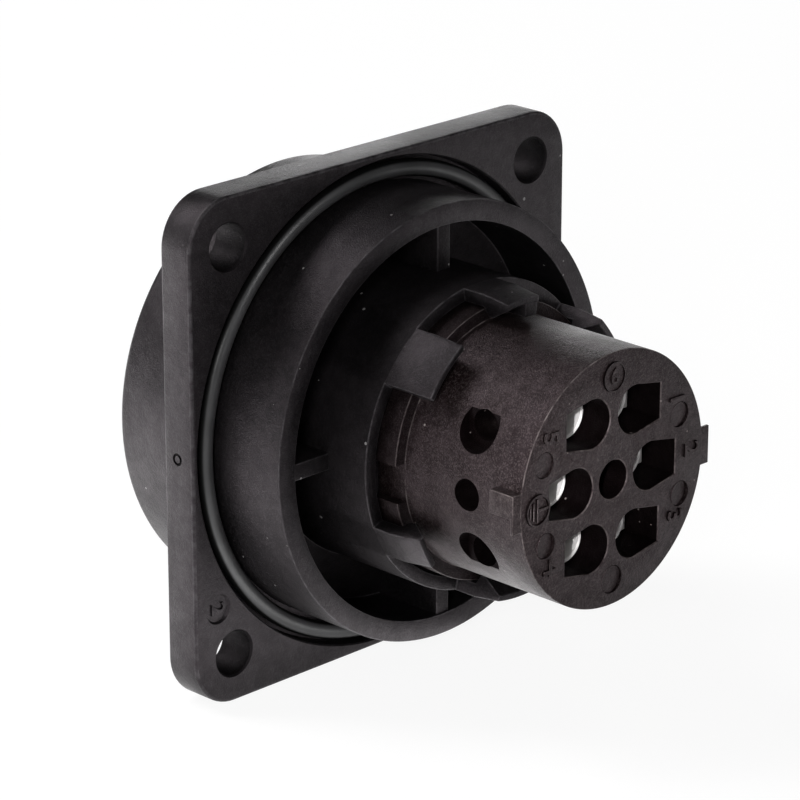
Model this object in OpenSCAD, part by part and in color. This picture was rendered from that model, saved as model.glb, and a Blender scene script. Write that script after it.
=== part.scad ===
// Square-flange circular connector for panel mounting, six screw terminals.
// The connector's axis lies along Y: wiring side at -Y, mating side at +Y, +Z up.
// The origin is the centre of the flange face that seats on the panel.

/* [Panel interface] */
// Outside diameter of the collar that passes through the panel
collar_d = 31.2; // [29:0.1:40]
// Height of the collar behind the panel seat
collar_height = 5.8; // [3:0.1:9]
// Wall of the collar
collar_wall = 1.5; // [1:0.1:2]
// Width of the seal groove round the collar
groove_width = 1.9; // [1.6:0.1:3]
// Depth of the seal groove in the flange
groove_depth = 1.2; // [0.8:0.1:1.6]
// Cord diameter of the panel seal
seal_cord_d = 1.3; // [1:0.1:1.5]
// Land left between the groove and the middle of a flange side
flange_land = 0.5; // [0.3:0.1:4]
// Thickness of the flange
flange_thickness = 2.8; // [2:0.1:6]
// Radius of the flange corners
flange_corner_r = 3.5; // [1:0.1:5]
// Distance of each screw hole from the two flange sides beside it
hole_edge = 3.5; // [2.5:0.1:4.5]
// Diameter of the flange screw holes
hole_d = 3.2; // [2.4:0.1:4]

/* [Front shell] */
// Outside diameter of the mating shell
shell_d = 31.2; // [29:0.1:35]
// Length of the shell in front of the flange
shell_length = 7.4; // [7:0.1:20]
// Wall of the shell
shell_wall = 1.8; // [1.2:0.1:2.2]
// Rounding of the shell's front rim
shell_round = 0.6; // [0.2:0.1:0.8]
// Thickness of the web that closes the shell behind its cavity
web_thickness = 2; // [1.2:0.1:2.6]
// Width of the polarising key inside the shell
key_width = 2.2; // [1:0.1:5]
// Height of the polarising key
key_height = 1.1; // [0.5:0.1:2]

/* [Insert tube] */
// Height of the tube's low rim behind the panel seat
tube_height = 9.2; // [8.4:0.1:10]
// Wall of the tube
tube_wall = 0.95; // [0.7:0.05:1.4]
// Height of the ledge inside the tube on which the insert's shoulder seats
ledge_height = 7.8; // [6:0.1:8.2]
// Thickness of the ribs between the tube and the collar
rib_thickness = 1.2; // [0.6:0.1:3]
// Number of ribs
rib_count = 4; // [3:1:8]

/* [Snap fingers] */
// Length of a finger's nose behind the insert's shoulder
finger_nose = 2.3; // [1.6:0.1:4]
// Reach of the hook on a finger towards the axis
finger_hook = 0.65; // [0.4:0.05:0.9]
// Taper of a finger's outside towards its tip
finger_taper = 0.3; // [0:0.05:0.5]
// Angle of the first finger's right side, seen from the wiring side
finger_1_at = 22; // [20:0.5:24]
// Arc of the first finger in degrees
finger_1_arc = 22; // [12:0.5:26]
// Angle of the second finger's right side
finger_2_at = 82.5; // [80:0.5:90]
// Arc of the second finger in degrees
finger_2_arc = 16.5; // [12:0.5:20]
// Angle of the third finger's right side
finger_3_at = 124; // [118:0.5:130]
// Arc of the third finger in degrees
finger_3_arc = 23; // [12:0.5:26]
// Angle of the fourth finger's right side
finger_4_at = 201; // [195:0.5:206]
// Arc of the fourth finger in degrees
finger_4_arc = 14; // [12:0.5:24]
// Arc of the stop block beside the hook of the second finger
finger_stop_arc = 6.5; // [3:0.5:8]

/* [Insert] */
// Diameter of the insert
insert_d = 17.8; // [16.6:0.1:20]
// Distance of the insert's wiring face behind the panel seat
insert_rear = 21.3; // [20.5:0.1:26]
// Distance of the insert's mating face in front of the panel seat
insert_nose = 3; // [2.2:0.1:5]
// Height of the insert's shoulder over its diameter
shoulder_step = 0.9; // [0.6:0.05:1.2]
// Length of the shoulder
shoulder_length = 3; // [2:0.1:4]
// Width of the locating notch in the shoulder
notch_width = 2.7; // [1.5:0.1:4]
// Height of the notch's centre line under the axis
notch_drop = 0.65; // [0:0.05:1.5]
// Diameter of the centre hole
centre_hole_d = 2.7; // [1.5:0.1:3]
// Depth of the centre hole
centre_hole_depth = 10; // [3:0.5:18]
// Width of the block of each side key
side_key_width = 1.65; // [0.8:0.05:2.4]
// Width of the lip at the rear end of each side key, flush with one side of the block
side_key_head = 2.7; // [2.4:0.1:4]
// Height of the side keys over the insert
side_key_height = 0.7; // [0.2:0.05:1]
// Length of the side keys
side_key_length = 2.1; // [1.2:0.1:3]
// Thickness of the lip of each side key
side_key_lip = 0.25; // [0.2:0.05:1]
// Diameter of the four ejector marks beside the terminal digits
mark_d = 1.85; // [1:0.05:2]
// Diameter of the mark under the entries, and of the raised pad above them
end_mark_d = 2.1; // [1:0.05:2.4]
// Depth of the ejector marks
mark_depth = 0.2; // [0.1:0.05:0.4]
// Height of the raised pad
pad_height = 0.15; // [0.05:0.05:0.3]

/* [Terminals] */
// Distance between the terminal rows
row_pitch = 4.38; // [4.2:0.02:4.8]
// Distance from the axis to the contacts of the upper and lower rows
outer_row_x = 2.1; // [2.06:0.02:2.4]
// Distance from the axis to the contacts of the middle row
middle_row_x = 3.7; // [3.6:0.05:4]
// Outside diameter of a contact's wire barrel
barrel_d = 3.2; // [3:0.05:3.4]
// Length of a contact's wire barrel
barrel_length = 6.5; // [5.5:0.1:8]
// Distance of the barrel's mouth under the insert's wiring face
barrel_recess = 2.25; // [1:0.05:3]
// Diameter of the wire bore in a barrel
wire_bore_d = 2.7; // [1.8:0.05:2.8]
// Depth of the wire bore
wire_bore_depth = 5.4; // [4:0.1:6]
// Width of the screw boss on a barrel
boss_width = 2.4; // [2.3:0.05:2.8]
// Reach of the screw boss from the barrel's axis
boss_reach = 2.4; // [2:0.05:2.6]
// Length of the screw boss along the barrel
boss_length = 3.9; // [2.4:0.1:4.2]
// Distance of the screw axis under the insert's wiring face
screw_depth = 4.8; // [4.4:0.1:5.4]
// Diameter of a terminal screw
screw_d = 2; // [1.4:0.05:2.1]
// Length of a terminal screw
screw_length = 1.5; // [1.3:0.1:2.2]
// Width of the driver slot in a screw
slot_width = 0.4; // [0.2:0.05:0.6]
// Depth of the driver slot in a screw
slot_depth = 0.6; // [0.3:0.05:0.9]
// Diameter of the counterbores on the outer screw holes
access_cbore_d = 3.2; // [2.4:0.1:3.6]
// Depth of the counterbores under the insert's side
access_cbore_depth = 1.8; // [1.4:0.1:2]
// Diameter of a contact's shank inside the insert
shank_d = 2.4; // [2.3:0.05:2.8]
// Diameter of a contact's pin
pin_d = 2; // [1:0.05:2.2]
// Length of a pin in front of the insert
pin_length = 5.4; // [3:0.1:6]
// Extra length of the earth pin, which meets first
earth_lead = 1; // [0:0.1:1.6]

/* [Clearances] */
// Gap between the insert's shoulder and the tube
shoulder_clearance = 0.2; // [0.05:0.05:0.3]
// Gap between the insert and the tube's ledge
insert_clearance = 0.1; // [0.05:0.05:0.3]
// Gap between the insert's shoulder and the finger hooks
hook_clearance = 0.1; // [0.05:0.05:0.3]
// Gap beside the key that locates the insert's notch
notch_clearance = 0.15; // [0.05:0.05:0.3]
// Gap between a contact and its chamber in the insert
contact_clearance = 0.06; // [0.03:0.01:0.1]
// Gap between a screw and its hole in the contact
screw_clearance = 0.05; // [0.03:0.01:0.1]
// Gap between a screw and its access hole in the insert
access_clearance = 0.1; // [0.05:0.05:0.2]
// Gap between the wire bore and the tip of an open screw
screw_open_gap = 0.05; // [0.02:0.01:0.2]
// Gap under the seal in its groove
seal_clearance = 0.02; // [0.01:0.01:0.1]

/* [Hidden] */
$fn = 96;

// Overlap that joins solids of one piece, and overrun of a cut
joint = 0.5;
// Chamfer on moulded rims
rim_chamfer = 0.15;
// Step of the finger stop over the hooks
stop_proud = 0.1;
// Height of the ejector marks over the middle row, as a share of the row pitch
mark_row_share = 0.64;

// Flange and seal follow the collar
collar_r = collar_d / 2;
collar_bore_r = collar_r - collar_wall;
groove_r = collar_r + groove_width;
flange_half = groove_r + flange_land;
hole_pos = flange_half - hole_edge;
seal_r = collar_r + groove_width / 2;
seal_height = seal_cord_d / 2 + seal_clearance - groove_depth;

// Shell in front of the flange
shell_r = shell_d / 2;
shell_bore_r = shell_r - shell_wall;
shell_front = -flange_thickness - shell_length;

// Insert, shoulder and the tube round them
insert_r = insert_d / 2;
shoulder_r = insert_r + shoulder_step;
shoulder_top = ledge_height + shoulder_length;
ledge_r = insert_r + insert_clearance;
tube_bore_r = shoulder_r + shoulder_clearance;
tube_r = tube_bore_r + tube_wall;

// Snap fingers hook over the shoulder; the last two answer the second and third across the axis
hook_base = shoulder_top + hook_clearance;
finger_tip = hook_base + finger_nose;
hook_r = tube_bore_r - finger_hook;
fingers = [
    [finger_1_at, finger_1_arc],
    [finger_2_at, finger_2_arc],
    [finger_3_at, finger_3_arc],
    [finger_4_at, finger_4_arc],
    [finger_2_at + 175, finger_1_arc],
    [finger_3_at + 190, finger_3_arc]
];

// Terminals in the order 1, 2, 3, 4, 5, earth: side of the axis and row
terminal_names = ["1", "2", "3", "4", "5", "earth"];
terminal_sides = [1, 1, 1, -1, -1, -1];
terminal_rows = [1, 0, -1, -1, 1, 0];
barrel_mouth = insert_rear - barrel_recess;
barrel_foot = barrel_mouth - barrel_length;
screw_height = insert_rear - screw_depth;
boss_foot = screw_height - boss_length / 2;
chamber_r = barrel_d / 2 + contact_clearance;
screw_tip = wire_bore_d / 2 + screw_open_gap;
access_d = screw_d + 2 * access_clearance;
mark_x = middle_row_x + boss_reach + mark_d / 4;
mark_z = row_pitch * mark_row_share;
end_mark_z = row_pitch + chamber_r + end_mark_d / 2;

function terminal_x(i) = terminal_sides[i] * (terminal_rows[i] == 0 ? middle_row_x : outer_row_x);
function terminal_z(i) = terminal_rows[i] * row_pitch;

// Stands a shape on the panel seat: its x and y are seen from the wiring side, its z is the height
// behind the seat.
module on_seat() {
    rotate([90, 0, 0])
        children();
}

// Places a shape on the axis of terminal i, with x pointing away from the connector's axis.
module at_terminal(i) {
    on_seat()
        translate([terminal_x(i), terminal_z(i), 0])
            rotate([0, 0, terminal_sides[i] > 0 ? 0 : 180])
                children();
}

// A cylinder along x at the screw's height, from one distance to another.
module screw_bore(d, from, to) {
    translate([from, 0, screw_height])
        rotate([0, 90, 0])
            cylinder(d = d, h = to - from);
}

// Square with round corners.
module rounded_square(half, r) {
    square([2 * half, 2 * (half - r)], center = true);
    square([2 * (half - r), 2 * half], center = true);
    for (x = [-1, 1], y = [-1, 1])
        translate([x * (half - r), y * (half - r)])
            circle(r = r);
}

// Half section of the turned part of the housing: radius across, height behind the seat up.
module housing_section() {
    // Mating shell with its rounded rim
    translate([shell_bore_r, shell_front + shell_round])
        square([shell_wall, -shell_front - shell_round - groove_depth - joint / 2]);
    translate([shell_bore_r + shell_round, shell_front])
        square([shell_wall - 2 * shell_round, shell_round + joint]);
    for (r = [shell_bore_r + shell_round, shell_r - shell_round])
        translate([r, shell_front + shell_round])
            circle(r = shell_round);
    // Web between the tube and the flange
    translate([ledge_r, -web_thickness])
        square([max(collar_r, shell_r) - ledge_r, web_thickness]);
    // Collar with a chamfered rim
    polygon([
        [collar_bore_r, -joint],
        [collar_r, -joint],
        [collar_r, collar_height - rim_chamfer],
        [collar_r - rim_chamfer, collar_height],
        [collar_bore_r + rim_chamfer, collar_height],
        [collar_bore_r, collar_height - rim_chamfer]
    ]);
    // Tube with the ledge for the insert's shoulder and the hooked ring of the snap fingers
    polygon([
        [ledge_r, -web_thickness],
        [tube_r, -web_thickness],
        [tube_r, hook_base],
        [tube_r - finger_taper, finger_tip],
        [tube_bore_r + tube_wall / 4, finger_tip],
        [hook_r, hook_base + finger_nose / 3],
        [hook_r, hook_base + finger_hook / 2],
        [tube_bore_r, hook_base],
        [tube_bore_r, ledge_height],
        [ledge_r, ledge_height]
    ]);
}

// Gaps that part the hooked ring into fingers, down to the tube's low rim.
module finger_gaps() {
    last = len(fingers) - 1;
    for (i = [0 : last]) {
        from = fingers[i][0] + fingers[i][1];
        to = i < last ? fingers[i + 1][0] : fingers[0][0] + 360;
        rotate([0, 0, from])
            rotate_extrude(angle = to - from)
                translate([hook_r - joint, tube_height])
                    square([tube_r - hook_r + 2 * joint, finger_tip - tube_height + joint]);
    }
}

// Full-depth stop beside the hook of the second finger; the gap beside it trims its overrun.
module finger_stop() {
    overrun = finger_stop_arc / 4;
    stop_foot = hook_base + finger_nose / 4;
    rotate([0, 0, finger_2_at - overrun])
        rotate_extrude(angle = finger_stop_arc + overrun)
            translate([hook_r - stop_proud, stop_foot])
                square([finger_hook + stop_proud + tube_wall / 2, finger_tip - stop_proud - stop_foot]);
}

module flange() {
    translate([0, 0, -flange_thickness])
        linear_extrude(flange_thickness)
            difference() {
                rounded_square(flange_half, flange_corner_r);
                circle(r = shell_r - shell_wall / 2);
                for (x = [-1, 1], y = [-1, 1])
                    translate([x * hole_pos, y * hole_pos])
                        circle(d = hole_d);
            }
}

module housing() {
    color([0.13, 0.13, 0.14])
        on_seat() {
            difference() {
                union() {
                    flange();
                    rotate_extrude()
                        housing_section();
                    finger_stop();
                }
                // Seal groove round the collar
                translate([0, 0, -groove_depth])
                    rotate_extrude()
                        translate([collar_r, 0])
                            square([groove_width, groove_depth + joint]);
                finger_gaps();
            }
            // Ribs between the tube and the collar
            for (i = [0 : rib_count - 1])
                rotate([0, 0, i * 360 / rib_count])
                    translate([tube_r - tube_wall / 2, -rib_thickness / 2, -web_thickness / 2])
                        cube([
                            collar_bore_r + collar_wall / 2 - tube_r + tube_wall / 2,
                            rib_thickness,
                            collar_height - rim_chamfer + web_thickness / 2
                        ]);
            // Key that locates the insert's notch
            translate([
                -tube_bore_r - tube_wall / 2,
                -notch_drop - notch_width / 2 + notch_clearance,
                ledge_height - joint
            ])
                cube([
                    tube_wall / 2 + shoulder_clearance + shoulder_step / 2,
                    notch_width - 2 * notch_clearance,
                    shoulder_length / 3 + joint
                ]);
            // Polarising key inside the shell
            translate([-key_width / 2, shell_bore_r - key_height, shell_front + shell_wall])
                cube([
                    key_width,
                    key_height + shell_wall / 2,
                    -shell_front - shell_wall - web_thickness / 2
                ]);
        }
}

module panel_seal() {
    color([0.2, 0.2, 0.21])
        on_seat()
            translate([0, 0, seal_height])
                rotate_extrude()
                    translate([seal_r, 0])
                        circle(d = seal_cord_d);
}

// Outline of a wire entry: round over the barrel, with straight sides that end over the screw boss.
module entry_outline() {
    half = boss_width / 2 + contact_clearance;
    reach = boss_reach + contact_clearance;
    circle(r = chamber_r);
    polygon([[0, -chamber_r], [reach, -half], [reach, half], [0, chamber_r]]);
}

// Everything that is cut from the insert for one terminal.
module terminal_cut(i) {
    side = insert_r - abs(terminal_x(i));
    at_terminal(i) {
        // Chamber for the barrel, and its mouth
        translate([0, 0, barrel_foot])
            cylinder(r = chamber_r, h = insert_rear - barrel_foot + joint);
        translate([0, 0, boss_foot])
            linear_extrude(insert_rear - boss_foot + joint)
                entry_outline();
        // Passage for the shank
        translate([0, 0, -insert_nose - joint])
            cylinder(d = shank_d + 2 * contact_clearance, h = barrel_foot + insert_nose + 2 * joint);
        // Access hole for the screw, with a counterbore where the insert's side slopes away
        screw_bore(access_d, boss_reach, side + joint);
        if (terminal_rows[i] != 0)
            screw_bore(access_cbore_d, side - access_cbore_depth, side + joint);
    }
}

module side_key() {
    translate([0, -side_key_head / 2, insert_rear - side_key_length])
        cube([insert_r + side_key_height, side_key_width, side_key_length]);
    translate([0, -side_key_head / 2, insert_rear - side_key_lip])
        cube([insert_r + side_key_height, side_key_head, side_key_lip]);
}

// Raised pad at the top of the wiring face.
module number_pad() {
    translate([0, end_mark_z, insert_rear - joint])
        cylinder(d = end_mark_d, h = joint + pad_height);
}

// Round marks that the ejector pins leave in the wiring face.
module ejector_marks() {
    for (x = [-mark_x, mark_x], z = [-mark_z, mark_z])
        translate([x, z, insert_rear - mark_depth])
            cylinder(d = mark_d, h = mark_depth + joint);
    translate([0, -end_mark_z, insert_rear - mark_depth])
        cylinder(d = end_mark_d, h = mark_depth + joint);
}

module insert_body() {
    color([0.17, 0.12, 0.12])
        difference() {
            on_seat() {
                translate([0, 0, -insert_nose])
                    cylinder(r = insert_r, h = insert_nose + insert_rear);
                difference() {
                    translate([0, 0, ledge_height])
                        cylinder(r = shoulder_r, h = shoulder_length);
                    translate([-shoulder_r - joint, -notch_drop - notch_width / 2, ledge_height - joint])
                        cube([shoulder_step + joint, notch_width, shoulder_length + 2 * joint]);
                }
                for (a = [0, 180])
                    rotate([0, 0, a])
                        side_key();
                number_pad();
            }
            for (i = [0 : len(terminal_names) - 1])
                terminal_cut(i);
            on_seat() {
                ejector_marks();
                translate([0, 0, insert_rear - centre_hole_depth])
                    cylinder(d = centre_hole_d, h = centre_hole_depth + joint);
            }
        }
}

module contact(i) {
    reach = insert_nose + pin_length + (terminal_names[i] == "earth" ? earth_lead : 0);
    color([0.78, 0.77, 0.74])
        at_terminal(i)
            difference() {
                union() {
                    translate([0, 0, barrel_foot])
                        cylinder(d = barrel_d, h = barrel_length);
                    // Shank through the insert
                    translate([0, 0, -insert_nose])
                        cylinder(d = shank_d, h = insert_nose + barrel_foot + joint);
                    // Pin with a round tip
                    translate([0, 0, pin_d / 2 - reach])
                        cylinder(d = pin_d, h = reach - pin_d / 2 - insert_nose + joint);
                    translate([0, 0, pin_d / 2 - reach])
                        sphere(d = pin_d);
                    // Screw boss
                    translate([0, -boss_width / 2, boss_foot])
                        cube([boss_reach, boss_width, boss_length]);
                }
                translate([0, 0, barrel_mouth - wire_bore_depth])
                    cylinder(d = wire_bore_d, h = wire_bore_depth + joint);
                screw_bore(screw_d + 2 * screw_clearance, 0, boss_reach + joint);
            }
}

module terminal_screw(i) {
    color([0.62, 0.62, 0.6])
        at_terminal(i)
            difference() {
                screw_bore(screw_d, screw_tip, screw_tip + screw_length);
                translate([
                    screw_tip + screw_length - slot_depth,
                    -slot_width / 2,
                    screw_height - screw_d / 2 - joint
                ])
                    cube([slot_depth + joint, slot_width, screw_d + 2 * joint]);
            }
}

housing();
panel_seal();
insert_body();
for (i = [0 : len(terminal_names) - 1]) {
    contact(i);
    terminal_screw(i);
}
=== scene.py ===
import bpy
import bmesh
import math
from mathutils import Matrix, Vector


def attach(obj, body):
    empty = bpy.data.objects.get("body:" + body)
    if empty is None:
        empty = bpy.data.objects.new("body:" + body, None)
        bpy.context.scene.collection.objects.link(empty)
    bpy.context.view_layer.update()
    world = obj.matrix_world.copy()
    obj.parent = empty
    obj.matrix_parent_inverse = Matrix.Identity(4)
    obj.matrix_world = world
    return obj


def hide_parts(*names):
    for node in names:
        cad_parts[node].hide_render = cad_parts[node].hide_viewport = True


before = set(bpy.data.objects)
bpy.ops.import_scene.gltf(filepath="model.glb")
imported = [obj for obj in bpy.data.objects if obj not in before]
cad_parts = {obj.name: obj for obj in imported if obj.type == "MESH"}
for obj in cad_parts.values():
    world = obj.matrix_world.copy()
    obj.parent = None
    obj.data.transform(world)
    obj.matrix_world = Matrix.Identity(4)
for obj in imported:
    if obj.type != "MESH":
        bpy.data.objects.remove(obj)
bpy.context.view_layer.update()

mm = 0.001             # pieces are modelled in millimetres and shrunk at the end
spare = 0.3            # how far cutters and feet reach past a face
weldGap = 0.0008       # points closer than this become one
margin = 0.1           # leeway when faces are picked by their place
squareOn = 0.95        # least share of a normal along an axis that a face stands across
wiringAxis = Vector((0, -1, 0))   # points away from the panel, towards the wires
print("frame loaded:", len(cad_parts), "nodes")


# Small tools shared by the pieces

def putChain(bm, points, closed):
    # half section: radius across, height behind the panel seat
    verts = [bm.verts.new((r, -h, 0)) for r, h in points]
    ends = verts[1:] + verts[:1] if closed else verts[1:]
    return verts, [bm.edges.new(pair) for pair in zip(verts, ends)]


def spinSection(bm, points, start=0.0, arc=360.0, step=2.0, closed=True):
    verts, edges = putChain(bm, points, closed)
    turned = Matrix.Rotation(math.radians(start), 3, wiringAxis)
    bmesh.ops.rotate(bm, verts=verts, cent=(0, 0, 0), matrix=turned)
    bmesh.ops.spin(bm, geom=verts + edges, cent=(0, 0, 0), axis=wiringAxis, dvec=(0, 0, 0),
                   angle=math.radians(arc), steps=max(2, round(arc / step)), use_merge=arc == 360.0)


def closeShape(bm, fill=False):
    bmesh.ops.remove_doubles(bm, verts=bm.verts[:], dist=weldGap)
    if fill:
        bmesh.ops.holes_fill(bm, edges=[e for e in bm.edges if e.is_boundary], sides=0)
    bmesh.ops.recalc_face_normals(bm, faces=bm.faces[:])


def turnShape(points, step):
    # solid of a full turn, from a half section that starts and ends on the axis
    bm = bmesh.new()
    spinSection(bm, points, step=step, closed=False)
    closeShape(bm)
    return bm


def quarterRound(centre, radius, first, steps=5):
    # points of a quarter circle in a half section, from the angle "first" on
    angles = [math.radians(first + 90.0 * i / steps) for i in range(steps + 1)]
    return [(centre[0] + radius * math.cos(a), centre[1] + radius * math.sin(a)) for a in angles]


def onlyVerts(geom):
    return [g for g in geom if isinstance(g, bmesh.types.BMVert)]


def rimLayer(bm):
    # face value that the finishes read: up to 1 on rounded edges, which get worn and painted highlight, below 0
    # on faces that get painted shade
    return bm.faces.layers.float.get("rim") or bm.faces.layers.float.new("rim")


def markAll(bm, value):
    rim = rimLayer(bm)
    for face in bm.faces:
        face[rim] = value


def softenEdges(bm, width, segments=2, angle=30.0, wanted=None):
    rim = rimLayer(bm)
    bm.normal_update()
    sharp = [e for e in bm.edges if len(e.link_faces) == 2
             and e.calc_face_angle(0.0) > math.radians(angle) and (wanted is None or wanted(e))]
    done = bmesh.ops.bevel(bm, geom=sharp, offset=width, offset_type="OFFSET", segments=segments,
                           profile=0.5, affect="EDGES", clamp_overlap=True, material=-1)
    for face in done["faces"]:
        face[rim] = 1.0


def makeBox(low, high, soft=0.0, segments=2):
    bm = bmesh.new()
    bmesh.ops.create_cube(bm, size=1.0)
    middle = [(a + b) / 2 for a, b in zip(low, high)]
    bmesh.ops.scale(bm, vec=[b - a for a, b in zip(low, high)], verts=bm.verts[:])
    bmesh.ops.translate(bm, vec=middle, verts=bm.verts[:])
    if soft:
        softenEdges(bm, soft, segments)
    return bm


def placeCopy(bm, shape, matrix=None):
    # adds a shape to a mesh, turned and moved by the matrix
    held = bpy.data.meshes.new("held")
    shape.to_mesh(held)
    if matrix is not None:
        held.transform(matrix)
    bm.from_mesh(held)
    bpy.data.meshes.remove(held)


def gather(bm, shape, matrix=None):
    placeCopy(bm, shape, matrix)
    shape.free()


def carve(bm, cutter, how="DIFFERENCE"):
    # exact boolean of two meshes in millimetres
    pair = []
    for label, shape in (("blank", bm), ("cutter", cutter)):
        mesh = bpy.data.meshes.new(label)
        shape.to_mesh(mesh)
        shape.free()
        pair.append(bpy.data.objects.new(label, mesh))
        bpy.context.scene.collection.objects.link(pair[-1])
    step = pair[0].modifiers.new("carve", "BOOLEAN")
    step.operation, step.object, step.solver = how, pair[1], "EXACT"
    bpy.context.view_layer.update()
    graph = bpy.context.evaluated_depsgraph_get()
    made = bpy.data.meshes.new_from_object(pair[0].evaluated_get(graph))
    result = bmesh.new()
    result.from_mesh(made)
    for obj in pair:
        mesh = obj.data
        bpy.data.objects.remove(obj)
        bpy.data.meshes.remove(mesh)
    bpy.data.meshes.remove(made)
    return result


def keepPiece(name, bm, finish, body, stands=(), smooth=28.0):
    rimLayer(bm)
    bmesh.ops.scale(bm, vec=(mm, mm, mm), verts=bm.verts[:])
    mesh = bpy.data.meshes.new(name)
    bm.to_mesh(mesh)
    bm.free()
    mesh.materials.append(finish)
    mesh.shade_smooth()
    mesh.set_sharp_from_angle(angle=math.radians(smooth))
    piece = bpy.data.objects.new(name, mesh)
    bpy.context.scene.collection.objects.link(piece)
    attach(piece, body)
    if stands:
        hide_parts(*stands)
    print("piece", name, len(mesh.polygons), "faces")


def atWiringSide(x, z, h, spin=0.0):
    # matrix for a flat mark: its x and y seen from the wiring side, its z behind the panel
    return (Matrix.Translation((x, -h, z)) @ Matrix.Rotation(math.radians(90), 4, "X")
            @ Matrix.Rotation(math.radians(spin), 4, "Z"))


def alongX(height):
    # matrix that lays a turned shape along +X, at a height behind the panel seat
    return Matrix.Translation((0, -height, 0)) @ Matrix.Rotation(math.radians(90), 4, "Z")


# Shader nodes and groups shared by the finishes

def feed(tree, socket, value):
    # sets a number or a colour, or links another node's output
    if isinstance(value, (int, float)):
        socket.default_value = value
    elif isinstance(value, tuple):
        socket.default_value = (*value, 1.0)
    else:
        tree.links.new(value, socket)


def newGroup(name, inputs, outputs):
    # group with a vector and some values going in and values coming out
    group = bpy.data.node_groups.new(name, "ShaderNodeTree")
    group.interface.new_socket(name="Vector", in_out="INPUT", socket_type="NodeSocketVector")
    for label, value in inputs.items():
        socket = group.interface.new_socket(name=label, in_out="INPUT", socket_type="NodeSocketFloat")
        socket.default_value = value
    for label in outputs:
        group.interface.new_socket(name=label, in_out="OUTPUT", socket_type="NodeSocketFloat")
    given, out = group.nodes.new("NodeGroupInput"), group.nodes.new("NodeGroupOutput")
    return group, given.outputs, out.inputs


def addMath(tree, kind, first, second, clamp=False):
    node = tree.nodes.new("ShaderNodeMath")
    node.operation, node.use_clamp = kind, clamp
    feed(tree, node.inputs[0], first)
    feed(tree, node.inputs[1], second)
    return node.outputs[0]


def addRange(tree, value, low, high, outLow=0.0, outHigh=1.0):
    node = tree.nodes.new("ShaderNodeMapRange")
    node.interpolation_type = "SMOOTHSTEP"
    for label, number in (("Value", value), ("From Min", low), ("From Max", high),
                          ("To Min", outLow), ("To Max", outHigh)):
        feed(tree, node.inputs[label], number)
    return node.outputs["Result"]


def addSpread(tree, value, middle, below, above):
    # lays a value of 0 to 1 out round a middle level
    return addRange(tree, value, 0.0, 1.0, middle - below, middle + above)


def addNoise(tree, vector, scale, detail, rough):
    node = tree.nodes.new("ShaderNodeTexNoise")
    for label, value in (("Vector", vector), ("Scale", scale), ("Detail", detail), ("Roughness", rough)):
        feed(tree, node.inputs[label], value)
    return node.outputs["Fac"]


def addCells(tree, vector, scale):
    # cell pattern: the distance to the cell's point, and three random values of the cell
    node = tree.nodes.new("ShaderNodeTexVoronoi")
    feed(tree, node.inputs["Vector"], vector)
    feed(tree, node.inputs["Scale"], scale)
    parts = tree.nodes.new("ShaderNodeSeparateColor")
    feed(tree, parts.inputs["Color"], node.outputs["Color"])
    return node.outputs["Distance"], parts.outputs


def mixColor(tree, factor, first, second):
    node = tree.nodes.new("ShaderNodeMix")
    node.data_type = "RGBA"
    for number, value in ((0, factor), (6, first), (7, second)):   # the factor and the two colours
        feed(tree, node.inputs[number], value)
    return node.outputs[2]


def axisPlace(tree, place):
    # place along the connector's axis, in metres
    node = tree.nodes.new("ShaderNodeSeparateXYZ")
    feed(tree, node.inputs[0], place)
    return node.outputs["Y"]


# each noise has a detail and a roughness, each range a low and a high end
mouldSkin = {"fineNoise": (3.0, 0.6), "coarseNoise": (2.0, 0.5), "cloudNoise": (3.0, 0.55),
             "mottleNoise": (4.0, 0.65), "coarseScale": 0.3, "mottleScale": 0.1, "sparkleScale": 1.1,
             "fineShare": 0.6, "coarseShare": 0.4, "grainRange": (0.38, 0.66), "cloudRange": (0.32, 0.68),
             "mottleRange": (0.3, 0.7), "sparkleRange": (0.55, 1.0)}


def buildMouldGrain(s):
    # spark-eroded mould skin: fine and coarse grain, broad cloudiness, mottling and paler grains
    tree, given, out = newGroup("mouldGrain", {"Grain Scale": 6000.0, "Cloud Scale": 180.0},
                                ("Height", "Grain", "Cloud", "Mottle", "Sparkle"))
    vector, scale = given["Vector"], given["Grain Scale"]
    fine = addNoise(tree, vector, scale, *s["fineNoise"])
    cloud = addNoise(tree, vector, given["Cloud Scale"], *s["cloudNoise"])
    coarse = addNoise(tree, vector, addMath(tree, "MULTIPLY", scale, s["coarseScale"]), *s["coarseNoise"])
    mottle = addNoise(tree, vector, addMath(tree, "MULTIPLY", scale, s["mottleScale"]), *s["mottleNoise"])
    cells = addCells(tree, vector, addMath(tree, "MULTIPLY", scale, s["sparkleScale"]))[1]
    height = addMath(tree, "ADD", addMath(tree, "MULTIPLY", fine, s["fineShare"]),
                     addMath(tree, "MULTIPLY", coarse, s["coarseShare"]))
    tree.links.new(height, out["Height"])
    tree.links.new(addRange(tree, fine, *s["grainRange"]), out["Grain"])
    tree.links.new(addRange(tree, cloud, *s["cloudRange"]), out["Cloud"])
    tree.links.new(addRange(tree, mottle, *s["mottleRange"]), out["Mottle"])
    tree.links.new(addRange(tree, cells["Red"], *s["sparkleRange"]), out["Sparkle"])
    return tree


speckShape = {"smallest": 0.35, "faintest": 0.3, "shadeSpread": 0.7}


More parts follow.
